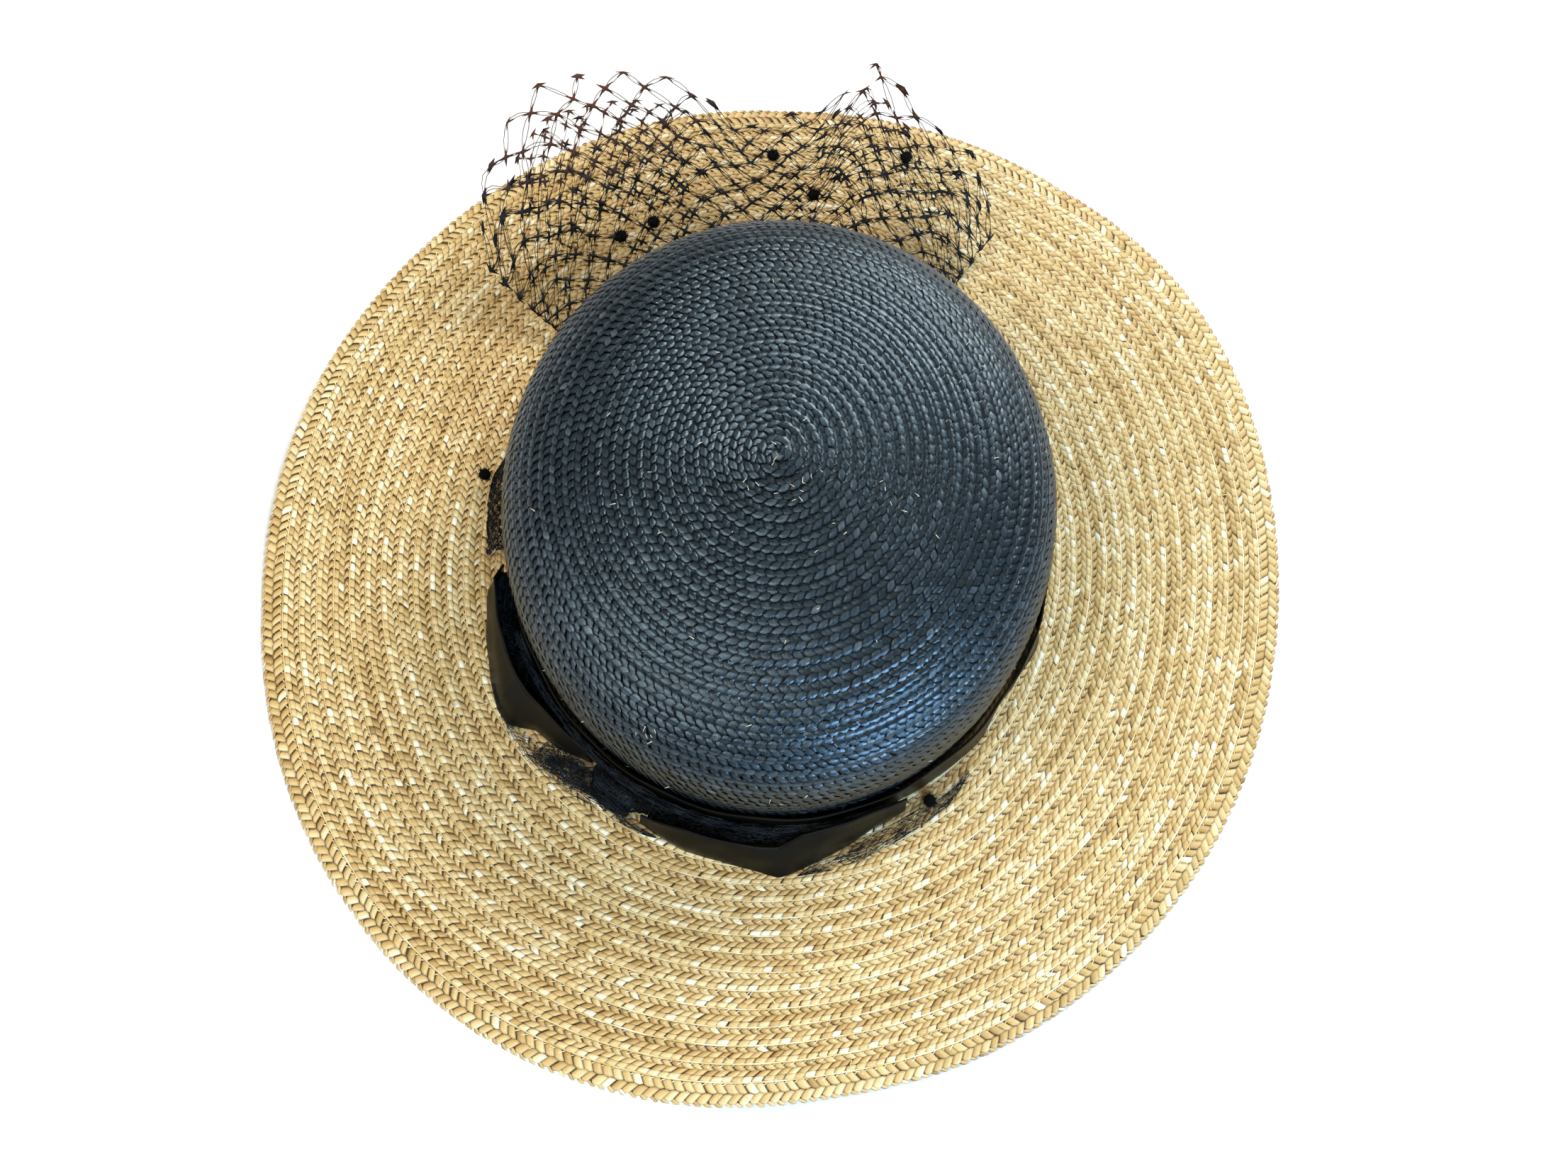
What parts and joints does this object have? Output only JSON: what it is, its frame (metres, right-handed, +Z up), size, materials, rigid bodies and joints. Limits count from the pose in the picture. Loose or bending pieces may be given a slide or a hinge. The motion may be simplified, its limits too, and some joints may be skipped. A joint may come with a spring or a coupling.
{
  "type": "straw hat",
  "caption": "Wide flat-brimmed straw hat with a dark braided dome crown, a folded satin ribbon and a dotted net veil standing up at the back.",
  "frame": {"origin": "centre of the hat's footprint on the surface it rests on", "axes": "+Z up out of the crown, -Y towards the front of the hat, +X to its right in the picture"},
  "size_m": [0.3666, 0.3784, 0.0821],
  "materials": {
    "straw_natural": "plaited natural straw braid, slightly glossy",
    "straw_dark": "plaited blue-black dyed straw braid, semi-gloss",
    "ribbon_satin": "black satin ribbon",
    "veil_net": "black millinery net",
    "veil_dot": "black chenille, matte"
  },
  "bodies": {
    "root": {"brim": "straw_natural", "crown": "straw_dark", "ribbon_band": "ribbon_satin", "ribbon_fold_left": "ribbon_satin", "ribbon_fold_front": "ribbon_satin", "veil_wrap_left": "veil_net", "veil_wrap_front": "veil_net", "veil_pouf": "veil_net", "veil_dot_1": "veil_dot", "veil_dot_2": "veil_dot", "veil_dot_3": "veil_dot", "veil_dot_4": "veil_dot", "veil_dot_5": "veil_dot", "veil_dot_6": "veil_dot", "veil_dot_7": "veil_dot"}
  },
  "joints": []
}
